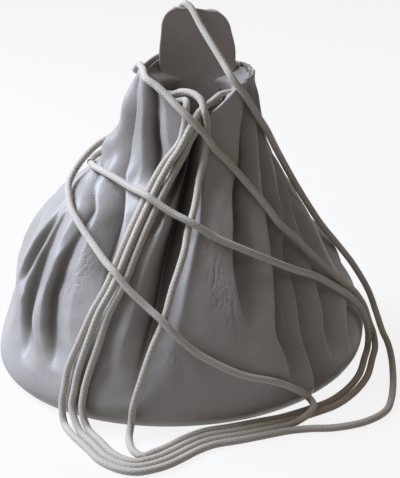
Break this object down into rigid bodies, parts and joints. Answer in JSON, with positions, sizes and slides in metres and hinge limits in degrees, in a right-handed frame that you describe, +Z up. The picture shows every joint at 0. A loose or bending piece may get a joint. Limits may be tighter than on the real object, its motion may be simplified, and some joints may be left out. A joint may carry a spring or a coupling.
{
  "type": "drawstring pouch",
  "caption": "Leather drawstring pouch on a round flat base, its neck gathered shut, with a rounded pull tab at the back and long braided cord loops wound round it.",
  "frame": {"origin": "middle of the base panel's resting face", "axes": "+Z up, -Y towards the front notch where the cords come out, +X to the right seen from the front"},
  "size_m": [0.2147, 0.2309, 0.1848],
  "materials": {
    "body_leather": "smooth pearl-grey leather with a soft sheen",
    "tab_leather": "matte grey-brown leather",
    "fibreboard": "plain pressed board",
    "lining": "dark woven lining",
    "cord": "round braided cord"
  },
  "bodies": {
    "pouch": {"front_panel": "body_leather", "back_panel": "body_leather", "base_panel": "body_leather", "neck_casing": "body_leather", "base_board": "fibreboard", "lining_base": "lining", "lining_wall": "lining", "cord_a_neck_run": "cord", "cord_a_left_strand": "cord", "cord_a_bight": "cord", "cord_a_right_strand": "cord", "cord_b_neck_run": "cord", "cord_b_left_strand": "cord", "cord_b_bight": "cord", "cord_b_right_strand": "cord"},
    "tab": {"pull_tab": "tab_leather"}
  },
  "joints": [
    {"name": "tab_fold", "type": "hinge", "parent": "pouch", "child": "tab", "pos_m": [0.0052, 0.017, 0.1546], "axis": [1, 0, 0], "range_deg": [-70, 70], "stiffness_Nm_per_rad": 0.005, "deforming": ["cord_a_left_strand", "cord_a_bight"]}
  ]
}
